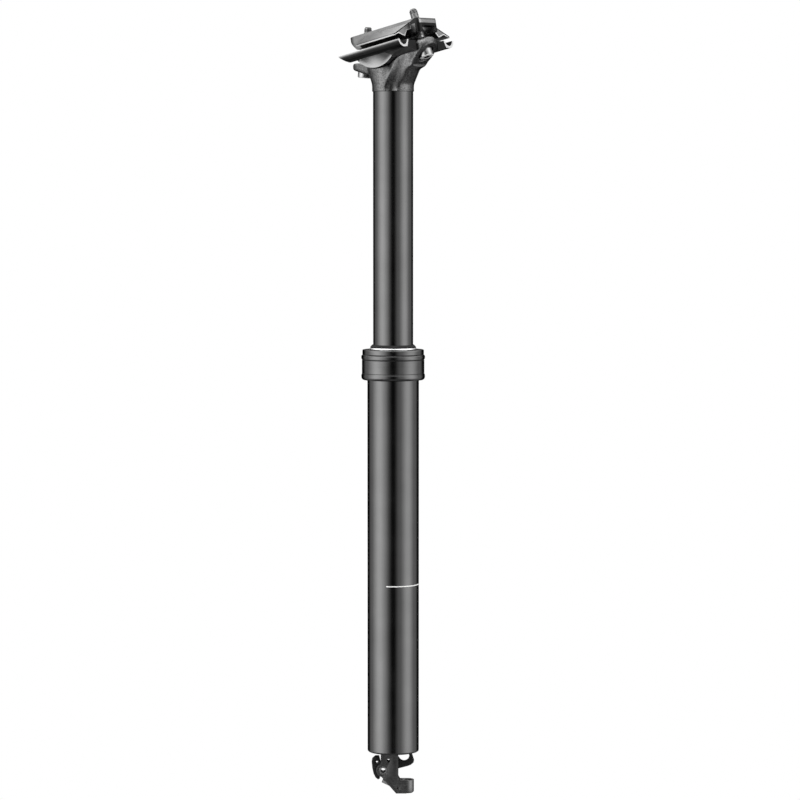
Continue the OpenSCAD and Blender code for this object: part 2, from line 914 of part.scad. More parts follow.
module actuator_bracket() {
    color(machined_black)
        in_actuator()
            difference() {
                union() {
                    plate(bracket_h)
                        bracket_outline();
                    translate([cup_x, 0, bracket_bottom + 0.8])
                        cylinder(r = cup_r, h = cup_top - bracket_bottom - 0.8);
                    translate([cup_x, 0, bracket_bottom])
                        cylinder(r1 = cup_r - 0.8, r2 = cup_r, h = 0.8);
                    translate([0, 0, cap_recess])
                        cylinder(r = bore_r - press_gap, h = base_h);
                }
                plate(slot_h)
                    polygon([[-20, -0.2], [20, -0.2], [20, -16.2], [-1.4, -16.2],
                             [-3.2, -18.2], [-20, -18.2]]);
                translate([0, 0, -over])
                    cylinder(r = pin_r + pin_gap, h = base_h + 2 * over);
                cross_bar(pivot_r + press_gap, 10, pivot[0], pivot[1]);
                cross_bar(lock_hole_r, 10, lock_hole[0], lock_hole[1]);
                cross_bar(drain_hole_r, 10, drain_hole[0], drain_hole[1]);
                translate([cup_x, 0, bracket_bottom - over])
                    cylinder(d = housing_d, h = housing_depth + over);
                translate([cup_x, 0, bracket_bottom])
                    cylinder(r = 1.4, h = 12);
                translate([cup_x, 0, cup_top - 0.9])
                    cylinder(r = 3.3, h = 2);
                translate([screw_end[0], 0, screw_end[1]])
                    rotate([0, 90 + screw_slope, 0])
                        translate([0, 0, -3])
                            cylinder(d = set_screw_d + 2 * press_gap, h = screw_l + 3 + press_gap);
            }
}

module bracket_set_screw() {
    color(bare_grey)
        in_actuator()
            translate([screw_end[0], 0, screw_end[1]])
                rotate([0, 90 + screw_slope, 0])
                    difference() {
                        cylinder(d = set_screw_d, h = screw_l);
                        translate([0, 0, -over])
                            cylinder(r = 1 / cos(30), h = 2 + over, $fn = 6);
                    }
}

module lever_pivot_pin() {
    color(steel)
        in_actuator()
            difference() {
                cross_bar(pivot_r, bracket_h + 0.3, pivot[0], pivot[1]);
                cross_bar(pivot_bore / 2, bracket_h + over, pivot[0], pivot[1]);
            }
}

module lever_arms() {
    // Arm to the hook
    polygon([[-7.2, -9], [-1, -6.1], [3.4, -5.4], [4.2, -6.6], [9.4, -6.6], [9.4, -0.9],
             [10.6, -0.9], [11.4, -2.5], [12.9, -7.3], [12.5, -8.6], [10.9, -9.9],
             [8.9, -10.7], [3.5, -12.1], [-2.6, -15.2], [-6, -13]]);
    // Heel
    polygon([[-8.7, -4.6], [-11, -4.6], [-12.9, -6.2], [-13.3, -8], [-12.9, -12],
             [-12.1, -15.4], [-10.9, -17.9], [-9.3, -19.1], [-8.2, -18.4],
             [-8.4, -16.4], [-6.2, -13], [-7.4, -9.6]]);
}

module actuator_lever() {
    color(machined_black)
        in_actuator()
            difference() {
                union() {
                    plate(lever_w / 2)
                        lever_arms();
                    cross_bar(hub_r, lever_w / 2, pivot[0], pivot[1]);
                }
                cross_bar(notch_r, 10, notch[0], notch[1]);
                cross_bar(heel_hole_r, 10, heel_hole[0], heel_hole[1]);
                cross_bar(lock_hole_r, 10, lock_hole[0], lock_hole[1]);
                cross_bar(pivot_r + running_gap, 10, pivot[0], pivot[1]);
                cross_bar(link_r + press_gap, 10, link[0], link[1]);
                translate([-tongue_slot_w, -tongue_h - rest_gap, -14.2])
                    cube([2 * tongue_slot_w, 2 * (tongue_h + rest_gap), 12]);
            }
}

module lever_link_pin() {
    color(steel)
        in_actuator()
            cross_bar(link_r, lever_w / 2, link[0], link[1]);
}

outer_tube();
seal_collar();
collar_o_ring();
wiper_ring();
wiper_seal();
oil_ring();
upper_bushing();
top_out_bumper();
end_cap();
bottom_out_bumper();
piston_rod();
piston();
piston_seal();
release_pin();
valve_spring();
actuator_bracket();
lever_pivot_pin();
actuator_lever();
lever_link_pin();
bracket_set_screw();
inner_post();
post_head();
lower_bushing();
guide_keys();
gas_cylinder();
cylinder_gland();
rod_seal();
lower_cradle();
upper_clamp();
front_bolt();
front_washer();
front_barrel_nut();
rear_bolt();
rear_washer();
rear_barrel_nut();
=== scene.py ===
import math
import bmesh
import bpy
from mathutils import Matrix, Vector


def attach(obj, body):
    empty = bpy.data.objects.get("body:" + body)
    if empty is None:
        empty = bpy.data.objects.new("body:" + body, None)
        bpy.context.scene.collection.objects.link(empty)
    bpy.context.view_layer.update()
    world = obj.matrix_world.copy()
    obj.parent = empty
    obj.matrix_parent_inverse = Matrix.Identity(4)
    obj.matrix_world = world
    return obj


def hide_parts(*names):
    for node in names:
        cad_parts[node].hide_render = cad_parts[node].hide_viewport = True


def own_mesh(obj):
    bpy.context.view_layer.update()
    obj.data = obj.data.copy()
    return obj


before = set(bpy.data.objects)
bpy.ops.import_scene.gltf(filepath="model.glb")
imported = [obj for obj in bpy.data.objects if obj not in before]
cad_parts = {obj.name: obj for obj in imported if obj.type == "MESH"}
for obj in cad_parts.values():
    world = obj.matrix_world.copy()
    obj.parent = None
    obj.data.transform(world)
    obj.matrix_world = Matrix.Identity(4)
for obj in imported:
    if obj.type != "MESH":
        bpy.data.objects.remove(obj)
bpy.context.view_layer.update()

MM = 0.001

# Outer post and its collar: radii and levels, in millimetres
TUBE_R = 15.8
TUBE_BORE = 14.1
TUBE_BOTTOM = -230
TUBE_EDGE = 1.2
TUBE_NECK_R = 15.4
TUBE_TOP = 14
COLLAR_BORE = 15.45
COLLAR_TOP = 18.5
WIPER_BORE, WIPER_R, WIPER_H = 12.9, 14.45, 1.1
PRINTED_LINE_Z = -125.9
PRINTED_LINE_HALF = 0.3
PRINTED_LINE_TURN = 67

# Inner post, with the keys' slots in both posts
INNER_R = 12.25
INNER_BORE = 10.5
INNER_BOTTOM = -60
BUSHING_LOW, BUSHING_HIGH, BUSHING_DEPTH = -58, -46, 0.25
HEAD_Z = 176
KEY_TOP = -26.9
KEY_LENGTH = 12
KEYWAY_LOW = TUBE_BOTTOM + 15.5
KEYWAY_DEPTH, KEYWAY_HALF = 0.6, 9
KEY_SLOT_DEPTH, KEY_SLOT_HALF = 0.95, 11.5
STEP_H = 0.02

# Head: the rocker's axis and bed, and the bolts' seats with their lean to the rear
ROCKER = Vector((-4.5, 0, HEAD_Z + 33))
ROCKER_BED_R = 19.3
HEAD_FOOT = HEAD_Z + 0.8
FRONT_SEAT = Vector((-22.0, 0, HEAD_Z + 13.6))
REAR_SEAT = Vector((24.5, 0, HEAD_Z + 25.2))
SEAT_FACE_R = 5.6
FRONT_LEAN = 5.5
REAR_LEAN = -20.8
SCOOP_PATH = [Vector((8.8, 13.2, HEAD_Z + 1)), Vector((14.5, 12.2, HEAD_Z + 16)),
              Vector((18.8, 12, HEAD_Z + 20.5))]
SCOOP_REACH = 6.2
SKIN_VOXEL = 0.36
HEAD_ROUNDS, SCOOP_ROUNDS, LAST_ROUNDS = 40, 150, 2

# Saddle clamp, measured from the rocker's axis along, across and square to the rails
CLAMP_TILT = -12
SPINE_HALF = 9.6
# The nose band's level, the wings' borders and rear ends, the lips' line and level and the cheeks'
# and channels' rims bound painted light and shade.
NOSE_AT, NOSE_BAND = 27.0, 1.4
NOSE_ROOT, NOSE_INNER = 17, 6
WING_REAR = 26.2
WING_BORDER = 0.6
LIP_LINE, LIP_LEVEL = 25.9, -5.02
CHEEK_IN, CHEEK_OUT, CHEEK_RIM_R = 13.7, 14.5, 18
CHANNEL_FRONT, CHANNEL_REAR = -18.5, 28.9
CHANNEL_UNDERSIDE, CHANNEL_IN, CHANNEL_OUTER = 14, 16, 25
CHANNEL_FLOOR, CHANNEL_SLANT = -9.0, 1.1
CHANNEL_RIM_AT, CHANNEL_RIM_LOW = 26.4, -9.5
# Painted light on the channels' outer walls above the first level, painted shade below the second.
CHANNEL_LINE, CHANNEL_SHADE = -8.85, -9.35
# Where the channel's round wall leaves the web, and the way out from there
CHANNEL_ROOT = Vector((0, 17.15, -8.7))
CHANNEL_OUT = Vector((0, 0.908, 0.418))

# Actuator below the post, with its through holes, whose walls are painted light: along, up and the
# reach of their walls
ACTUATOR_Z = -228.3
ACTUATOR_TURN = 38.5
ACTUATOR_LIT_HOLES = [(-6.2, -13, 2.6), (-2.9, -6.9, 1.15), (2.8, -24.3, 0.7), (-10, -8.3, 0.85)]

# Clamp bolts
BOLT_LENGTH, BOLT_R = 26.0, 2.5
BOLT_TIP_LENGTH = 3.4
BOLT_HEAD_R, BOLT_HEAD_H = 4.25, 5.0
BOLT_END_R, BOLT_END_H = 3.6, 0.55
SOCKET_R, SOCKET_H, SOCKET_INSIDE = 2.0 / math.cos(math.radians(30)), 2.6, 2.4
THREAD_PITCH, THREAD_DEPTH, THREAD_TURNS = 0.8, 0.42, 21

# The camera stands this far round from the post's left side and above it, in degrees
VIEW_AZIMUTH = 38.7
VIEW_RISE = 4.0
VIEW_CENTRE = Vector((0.0033, 0.0026, -0.0125))
VIEW_DISTANCE = 2.1
LENS, SENSOR = 154, 36


def toward(turn, rise):
    """Unit vector at an angle to the right of the camera's own direction, and above the floor."""
    a = math.radians(VIEW_AZIMUTH + turn)
    e = math.radians(rise)
    return Vector((math.sin(a) * math.cos(e), -math.cos(a) * math.cos(e), math.sin(e)))


# Finishes


class Signal:
    """A number that changes over a surface. Sums, products and tests on it add Math nodes."""

    def __init__(self, finish, socket):
        self.finish = finish
        self.socket = socket

    def math(self, operation, *values):
        return self.finish.node("ShaderNodeMath", {"operation": operation},
                                dict(enumerate(values)))

    def __add__(self, other):
        return self.math("ADD", self, other)

    __radd__ = __add__

    def __mul__(self, other):
        return self.math("MULTIPLY", self, other)

    __rmul__ = __mul__

    def __sub__(self, other):
        return self.math("SUBTRACT", self, other)

    def __rsub__(self, other):
        return self.math("SUBTRACT", other, self)

    def __lt__(self, other):
        return self.math("LESS_THAN", self, other)

    def __gt__(self, other):
        return self.math("GREATER_THAN", self, other)

    def __abs__(self):
        return self.math("ABSOLUTE", self)


class Finish:
    """One material while its nodes are laid out."""

    def __init__(self, name, **constants):
        self.material = bpy.data.materials.new(name)
        self.material.use_nodes = True
        self.tree = self.material.node_tree
        self.shader = self.tree.nodes["Principled BSDF"]
        for socket, value in constants.items():
            self.shader.inputs[socket.replace("_", " ")].default_value = value
        self.place = self.node("ShaderNodeTexCoord", {}, {}, "Object")

    def node(self, kind, settings, inputs, output=0):
        made = self.tree.nodes.new(kind)
        for key, value in settings.items():
            if key == "stops":
                ramp = made.color_ramp
                while len(ramp.elements) < len(value):
                    ramp.elements.new(0.5)
                for element, (position, colour) in zip(ramp.elements, value):
                    element.position = position
                    element.color = colour
            else:
                setattr(made, key, value)
        for key, value in inputs.items():
            if isinstance(value, Signal):
                self.tree.links.new(value.socket, made.inputs[key])
            else:
                made.inputs[key].default_value = value
        return Signal(self, made.outputs[output])

    def stretched(self, scale):
        return self.node("ShaderNodeMapping", {}, {"Vector": self.place, "Scale": scale})

    def noise(self, scale, detail=3.0, at=None):
        return self.node("ShaderNodeTexNoise", {}, {"Vector": at or self.place, "Scale": scale,
                                                    "Detail": detail})

    def ramp(self, signal, stops):
        return self.node("ShaderNodeValToRGB", {"stops": stops}, {0: signal})

    def between(self, signal, low, high, out_low, out_high):
        return self.node("ShaderNodeMapRange", {}, {0: signal, 1: low, 2: high, 3: out_low,
                                                    4: out_high})

    def blend(self, factor, first, second):
        return self.node("ShaderNodeMix", {"data_type": "RGBA"}, {0: factor, 6: first, 7: second},
                         2)

    def feed(self, socket, signal):
        self.tree.links.new(signal.socket, self.shader.inputs[socket])

    def bump(self, height, distance, strength=1.0):
        self.feed("Normal", self.node("ShaderNodeBump", {}, {"Height": height,
                                                             "Distance": distance,
                                                             "Strength": strength}))


def grey(value):
    return value, value, value, 1


def tube_anodising(name, printed_line=False):
    """Satin black anodising over fine lines left by drawing the tube."""
    f = Finish(name, Metallic=1.0, Roughness=0.2)
    lines = f.noise(1.0, 4.0, f.stretched((2600, 2600, 30)))
    cloud = f.noise(60, 3.0)
    f.bump(lines, 0.0000015)
    rough = f.between(cloud * 0.5 + lines * 0.5, 0.3, 0.7, 0.17, 0.23)
    colour = f.ramp(lines * 0.4 + cloud * 0.6, [(0.3, grey(0.085)), (0.7, grey(0.105))])
    if printed_line:
        axes = f.node("ShaderNodeSeparateXYZ", {}, {0: f.place})
        x = axes
        z = Signal(f, axes.socket.node.outputs[2])
        near = abs(z - PRINTED_LINE_Z * MM) < PRINTED_LINE_HALF * MM
        line = near * (x > TUBE_R * MM * math.cos(math.radians(PRINTED_LINE_TURN)))
        worn = line * (f.noise(900, 2.0) > 0.34)
        colour = f.blend(worn, colour, (0.72, 0.72, 0.71, 1))
        rough = rough + worn * 0.25
        f.feed("Metallic", 1 - worn)
    f.feed("Base Color", colour)
    f.feed("Roughness", rough)
    return f.material


def blasted_black(name):
    """Sandblasted forging, black anodised: an even fine grain with no direction."""
    f = Finish(name, Metallic=1.0, Roughness=0.5)
    grain = f.noise(3600, 2.0)
    coarse = f.noise(1300, 2.0)
    cloud = f.noise(90, 3.0)
    mix = grain * 0.35 + coarse * 0.65
    f.feed("Base Color", f.ramp(mix * 0.85 + cloud * 0.15,
                                [(0.36, grey(0.035)), (0.64, grey(0.17))]))
    f.feed("Roughness", f.between(mix, 0.3, 0.7, 0.3, 0.4))
    f.bump(mix, 0.00003, 0.8)
    return f.material


def milled_black(name, low=0.10, high=0.15):
    """Milled aluminium, black anodised, with faint cutter lines."""
    f = Finish(name, Metallic=1.0, Roughness=0.36)
    lines = f.noise(1.0, 3.0, f.stretched((500, 500, 4200)))
    cloud = f.noise(120, 3.0)
    f.feed("Base Color", f.ramp(lines * 0.5 + cloud * 0.5, [(0.3, grey(low)), (0.7, grey(high))]))
    f.feed("Roughness", f.between(lines, 0.3, 0.7, 0.3, 0.42))
    f.bump(lines, 0.000008)
    return f.material


def turned_black(name):
    """Turned aluminium, black anodised, with fine rings round the axis."""
    f = Finish(name, Metallic=1.0, Roughness=0.36)
    lines = f.noise(1.0, 3.0, f.stretched((60, 60, 6000)))
    cloud = f.noise(150, 3.0)
    f.feed("Base Color", f.ramp(lines * 0.5 + cloud * 0.5, [(0.3, grey(0.077)), (0.7, grey(0.11))]))
    f.feed("Roughness", f.between(cloud, 0.3, 0.7, 0.17, 0.24))
    f.bump(lines, 0.000004)
    return f.material


def bare_metal(name, low, high, rough):
    """Bare turned metal with fine rings round the axis."""
    f = Finish(name, Metallic=1.0, Roughness=rough)
    lines = f.noise(1.0, 3.0, f.stretched((60, 60, 6000)))
    f.feed("Base Color", f.ramp(lines, [(0.3, grey(low)), (0.7, grey(high))]))
    f.feed("Roughness", f.between(lines, 0.3, 0.7, rough * 0.8, rough * 1.2))
    f.bump(lines, 0.00001)
    return f.material


def dull(name, low, high, rough, scale, depth, **constants):
    """Rubber, polymer, felt, brass, near-black steel or a painted highlight: a dull surface with a
    small even texture.
    """
    f = Finish(name, Roughness=rough, **constants)
    grain = f.noise(scale, 3.0)
    f.feed("Base Color", f.ramp(grain, [(0.3, low), (0.7, high)]))
    f.feed("Roughness", f.between(grain, 0.3, 0.7, rough * 0.9, min(1.0, rough * 1.1)))
    f.bump(grain, depth)
    return f.material


TUBE_BLACK = tube_anodising("tube_black")
TUBE_BLACK_LINED = tube_anodising("tube_black_lined", printed_line=True)
BLASTED_BLACK = blasted_black("blasted_black")
MILLED = milled_black("milled_black")
# Lit and shaded copies of the milled black: painted light, painted shade that is also the lever's
# plain colour, and deeper painted shade near black.
MILLED_PAINTED_LIGHT = milled_black("milled_painted_light", 0.2, 0.28)
MILLED_DARK = milled_black("milled_dark", 0.035, 0.055)
MILLED_PAINTED_SHADE = milled_black("milled_painted_shade", 0.012, 0.02)
# Bare metal, whose brightness on the clamp's and cradle's edges and ends is a painted highlight.
CUT_EDGE_HIGHLIGHT = bare_metal("cut_edge_painted_highlight", 0.52, 0.64, 0.4)
WIPER_METAL = bare_metal("wiper_metal", 0.78, 0.92, 0.35)
TURNED_BLACK = turned_black("turned_black")
BARE_ALUMINIUM = bare_metal("bare_aluminium", 0.55, 0.68, 0.3)
STEEL = bare_metal("bolt_steel", 0.30, 0.42, 0.3)
THREAD = bare_metal("thread_steel", 0.20, 0.32, 0.38)
BOLT_HEAD = bare_metal("bolt_head_steel", 0.26, 0.38, 0.3)
# A pale dull band round the bolts' heads' ends, a painted highlight.
BOLT_END = dull("bolt_end_painted_highlight", grey(0.5), grey(0.62), 0.4, 900, 0.00001)
# Near black: painted shade inside the bolts' sockets, and the bolts' tips.
NEAR_BLACK_STEEL = dull("near_black_steel", grey(0.012), grey(0.022), 0.55, 1500, 0.00001,
                       Specular_IOR_Level=0.25)
ROD_CHROME = bare_metal("rod_chrome", 0.68, 0.75, 0.12)
DARK_ANODISED = bare_metal("dark_anodised", 0.10, 0.13, 0.35)
KEY_BRASS = dull("key_brass", (0.55, 0.40, 0.16, 1), (0.62, 0.47, 0.21, 1), 0.35, 900, 0.00001,
                 Metallic=1.0)
# Black rubber for the seals, also painted shade on the collar's top face and the wiper ring's foot,
# and the collar's thin dark bands.
RUBBER_AND_SHADE = dull("rubber_black_and_painted_shade", grey(0.008), grey(0.016), 0.8, 2500, 0.00002,
              Specular_IOR_Level=0.12)
POLYMER = dull("bushing_polymer", (0.08, 0.10, 0.09, 1), (0.11, 0.14, 0.12, 1), 0.55, 1200,
               0.00001)
FELT = dull("oiled_felt", (0.24, 0.19, 0.12, 1), (0.38, 0.31, 0.21, 1), 0.9, 1800, 0.0001)

NODE_FINISH = {
    "outer_tube": TUBE_BLACK_LINED, "seal_collar": TURNED_BLACK, "collar_o_ring": RUBBER_AND_SHADE,
    "wiper_ring": BARE_ALUMINIUM, "wiper_seal": RUBBER_AND_SHADE, "oil_ring": FELT,
    "upper_bushing": POLYMER, "top_out_bumper": RUBBER_AND_SHADE, "end_cap": BARE_ALUMINIUM,
    "bottom_out_bumper": RUBBER_AND_SHADE, "piston_rod": ROD_CHROME, "piston": BARE_ALUMINIUM,
    "piston_seal": RUBBER_AND_SHADE, "release_pin": ROD_CHROME, "valve_spring": THREAD,
    "actuator_bracket": MILLED, "lever_pivot_pin": BARE_ALUMINIUM, "actuator_lever": MILLED,
    "lever_link_pin": STEEL, "bracket_set_screw": BARE_ALUMINIUM, "inner_post": TUBE_BLACK,
    "post_head": BLASTED_BLACK, "lower_bushing": POLYMER, "guide_keys": KEY_BRASS,
    "gas_cylinder": DARK_ANODISED, "cylinder_gland": BARE_ALUMINIUM, "rod_seal": RUBBER_AND_SHADE,
    "lower_cradle": MILLED, "upper_clamp": MILLED, "front_bolt": STEEL, "front_washer": STEEL,
    "front_barrel_nut": STEEL, "rear_bolt": STEEL, "rear_washer": STEEL,
    "rear_barrel_nut": STEEL,
}


def dress(thing, finish):
    thing.data.materials.clear()
    thing.data.materials.append(finish)
    for face in thing.data.polygons:
        face.material_index = 0


for node_name, finish in NODE_FINISH.items():
    dress(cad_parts[node_name], finish)

# Mesh helpers


def as_piece(bm, name, body, finishes, stands_for, crease=40):
    """Turns a finished bmesh into a piece of the part, shaded smooth up to a crease angle."""
    bmesh.ops.remove_doubles(bm, verts=bm.verts, dist=1e-6)
    mesh = bpy.data.meshes.new(name)
    bm.to_mesh(mesh)
    bm.free()
    thing = bpy.data.objects.new(name, mesh)
    bpy.context.scene.collection.objects.link(thing)
    for finish in finishes:
        mesh.materials.append(finish)
    mesh.shade_smooth()
    mesh.set_sharp_from_angle(angle=math.radians(crease))
    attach(thing, body)
    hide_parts(*stands_for)
    return thing


def soften(bm, width, limit):
    """Rounds the edges whose faces meet at more than the limit, in degrees."""
    sharp = [e for e in bm.edges
             if len(e.link_faces) == 2 and e.calc_face_angle(0) > math.radians(limit)]
    return bmesh.ops.bevel(bm, geom=sharp, offset=width * MM, offset_type="OFFSET", segments=2,
                           profile=0.5, affect="EDGES", clamp_overlap=True,
                           material=-1)["faces"]


def smoothed(bm, verts, rounds):
    for _ in range(rounds):
        bmesh.ops.smooth_vert(bm, verts=verts, factor=0.5, use_axis_x=True, use_axis_y=True,
                              use_axis_z=True)


def turned_ring(outline, steps=256):
    """Closed ring turned about the post's axis. Its section's corners are radius and level."""
    bm = bmesh.new()
    corners = [bm.verts.new((r * MM, 0, z * MM)) for r, z in outline]
    sides = [bm.edges.new(pair) for pair in zip(corners, corners[1:] + corners[:1])]
    bmesh.ops.spin(bm, geom=corners + sides, cent=(0, 0, 0), axis=(0, 0, 1),
                   angle=2 * math.pi, steps=steps, use_merge=True)
    bmesh.ops.remove_doubles(bm, verts=bm.verts, dist=1e-6)
    bmesh.ops.recalc_face_normals(bm, faces=bm.faces)
    return bm


def merged_copy(node_name):
    """The mesh of a CAD node with its loose triangles joined."""
    bm = bmesh.new()
    bm.from_mesh(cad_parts[node_name].data)
    bmesh.ops.remove_doubles(bm, verts=bm.verts, dist=2e-6)
    return bm


def remeshed(bm):
    """The same closed shape with an even fine skin."""
    mesh = bpy.data.meshes.new("skin")
    bm.to_mesh(mesh)
    bm.free()
    thing = bpy.data.objects.new("skin", mesh)
    bpy.context.scene.collection.objects.link(thing)
    modifier = thing.modifiers.new("remesh", "REMESH")
    modifier.mode = "VOXEL"
    modifier.voxel_size = SKIN_VOXEL * MM
    skin = bpy.data.meshes.new_from_object(
        thing.evaluated_get(bpy.context.evaluated_depsgraph_get()))
    out = bmesh.new()
    out.from_mesh(skin)
    bpy.data.objects.remove(thing)
    return out


# Posts and collar


def keyways(bm, near_r, far_r, low, high, half_angle):
    """Three keyways in a turned ring: its corners between two levels move to another radius."""
    for v in bm.verts:
        p = v.co / MM
        reach = math.hypot(p.x, p.y)
        turn = (math.degrees(math.atan2(p.y, p.x)) + 60) % 120 - 60
        between = low - STEP_H / 2 < p.z < high + STEP_H / 2
        if abs(reach - near_r) < 0.05 and between and abs(turn) < half_angle:
            v.co.xy *= far_r / reach


def outer_post():
    low, high = KEYWAY_LOW, KEY_TOP + 0.2
    rim = [(TUBE_R - TUBE_EDGE + TUBE_EDGE * math.cos(math.radians(t)),
            TUBE_BOTTOM + TUBE_EDGE + TUBE_EDGE * math.sin(math.radians(t)))
           for t in range(-90, 1, 10)]
    shoulder = [(TUBE_R, -0.15), (TUBE_R - 0.15, 0), (TUBE_NECK_R, 0), (TUBE_NECK_R, TUBE_TOP)]
    bore = [(TUBE_BORE, z) for z in (TUBE_TOP, high + STEP_H, high, low, low - STEP_H)]
    bm = turned_ring([(TUBE_BORE, TUBE_BOTTOM)] + rim + shoulder + bore)
    keyways(bm, TUBE_BORE, TUBE_BORE + KEYWAY_DEPTH, low, high, KEYWAY_HALF)
    as_piece(bm, "outer_post_tube", "outer_post", [TUBE_BLACK_LINED],
             ["outer_tube"])


def collar():
    lower_bead = [(18.3, 0.05), (19.05, 0.5), (19.4, 1.3), (19.55, 2.3), (19.4, 3.3)]
    grip_band = [(19.13, 3.9), (19.13, 4.2), (19.13, 11.9), (19.13, 12.2)]
    upper_bead = [(19.0, 12.3), (19.0, 12.6), (19.35, 12.8), (19.5, 13.4), (19.55, 13.9),
                  (19.5, 14.5), (19.35, 15.0), (19.0, 15.3)]
    cap = [(18.72, 15.4), (18.72, 15.7), (18.85, 15.8), (18.85, 18.2), (18.55, COLLAR_TOP),
           (14.0, COLLAR_TOP), (14.0, 14.05)]
    o_ring_groove = [(16.05, 3.25), (16.05, 1.95)]
    bm = turned_ring([(COLLAR_BORE, 0.05)] + lower_bead + grip_band + upper_bead + cap
                     + [(COLLAR_BORE, 14.05), (COLLAR_BORE, 3.25)] + o_ring_groove
                     + [(COLLAR_BORE, 1.95)])
    # Thin dark bands where the beads meet the grip band and the cap; painted shade on the top face
    # round the wiper ring. Both take the rubber's black.
    dark_lines = [(3.85, 4.25), (12.15, 12.7), (15.3, 15.75)]
    for face in bm.faces:
        at = face.calc_center_median() / MM
        reach = math.hypot(at.x, at.y)
        in_dark_band = reach > 18 and any(low < at.z < high for low, high in dark_lines)
        shaded_top = reach > WIPER_R and at.z > COLLAR_TOP - 0.1
        face.material_index = 1 if in_dark_band or shaded_top else 0
    as_piece(bm, "seal_collar_turned", "outer_post", [TURNED_BLACK, RUBBER_AND_SHADE],
             ["seal_collar"], crease=25)


def wiper_ring():
    foot, top = COLLAR_TOP + 0.3, COLLAR_TOP + WIPER_H
    bm = turned_ring([(WIPER_BORE, COLLAR_TOP), (WIPER_R, COLLAR_TOP), (WIPER_R, foot),
                      (WIPER_R, top - 0.3), (WIPER_R - 0.3, top), (WIPER_BORE, top)], 192)
    # The ring's lowest band is painted shadow, in the rubber's black.
    for face in bm.faces:
        painted_shadow_band = face.calc_center_median().z < (foot - 0.05) * MM
        face.material_index = 1 if painted_shadow_band else 0
    as_piece(bm, "wiper_ring_turned", "outer_post", [WIPER_METAL, RUBBER_AND_SHADE],
             ["wiper_ring"], crease=25)


def inner_tube():
    low, high = KEY_TOP - KEY_LENGTH - 0.06, KEY_TOP + 0.06
    seat_r = INNER_R - BUSHING_DEPTH
    bushing_seat = [(INNER_R, BUSHING_LOW - STEP_H), (seat_r, BUSHING_LOW), (seat_r, BUSHING_HIGH),
                    (INNER_R, BUSHING_HIGH + STEP_H)]
    skin = [(INNER_R, z) for z in (low - STEP_H, low, high, high + STEP_H, HEAD_Z)]
    bm = turned_ring([(INNER_BORE, INNER_BOTTOM), (INNER_R, INNER_BOTTOM)] + bushing_seat + skin
                     + [(INNER_BORE, HEAD_Z)])
    keyways(bm, INNER_R, INNER_R - KEY_SLOT_DEPTH, low, high, KEY_SLOT_HALF)
    as_piece(bm, "inner_post_tube", "sliding_post", [TUBE_BLACK], ["inner_post"])


def return_spring():
    """The valve's return spring, a copy of its CAD coil with a mesh of its own."""
    bm = merged_copy("valve_spring")
    spring = as_piece(bm, "valve_spring_coil", "outer_post", [THREAD],
                      ["valve_spring"], crease=70)
    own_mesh(spring)


# Head


def bolt_frame(seat, lean):
    """Place of a bolt: its seat is the origin and it points up along its own Z."""
    return Matrix.Translation(seat * MM) @ Matrix.Rotation(math.radians(lean), 4, "Y")


def forged_head():
    """The forging's soft skin over the CAD head, whose machined faces keep their place."""
    bm = remeshed(merged_copy("post_head"))
    seats = [bolt_frame(FRONT_SEAT, FRONT_LEAN).inverted(),
             bolt_frame(REAR_SEAT, REAR_LEAN).inverted()]

    def machined(v):
        p = v.co / MM
        if p.z < HEAD_FOOT or math.hypot(p.x - ROCKER.x, p.z - ROCKER.z) < ROCKER_BED_R:
            return True
        on_seats = [(seat @ v.co) / MM for seat in seats]
        return any(math.hypot(q.x, q.y) < SEAT_FACE_R for q in on_seats)

    def scooped(v):
        p = v.co / MM
        p.y = abs(p.y)
        for start, end in zip(SCOOP_PATH, SCOOP_PATH[1:]):
            along = (p - start).dot(end - start) / (end - start).length_squared
            if (p - start.lerp(end, max(0.0, min(1.0, along)))).length < SCOOP_REACH:
                return True
        return False

    free = [v for v in bm.verts if not machined(v)]
    smoothed(bm, free, HEAD_ROUNDS)
    smoothed(bm, [v for v in free if scooped(v)], SCOOP_ROUNDS)
    smoothed(bm, bm.verts, LAST_ROUNDS)
    as_piece(bm, "post_head_forging", "sliding_post", [BLASTED_BLACK],
             ["post_head"], crease=60)


CLAMP_PLACE = Matrix.Translation(ROCKER * MM) @ Matrix.Rotation(math.radians(CLAMP_TILT), 4, "Y")
ACTUATOR_PLACE = (Matrix.Translation((0, 0, ACTUATOR_Z * MM))
                  @ Matrix.Rotation(math.radians(ACTUATOR_TURN), 4, "Z"))


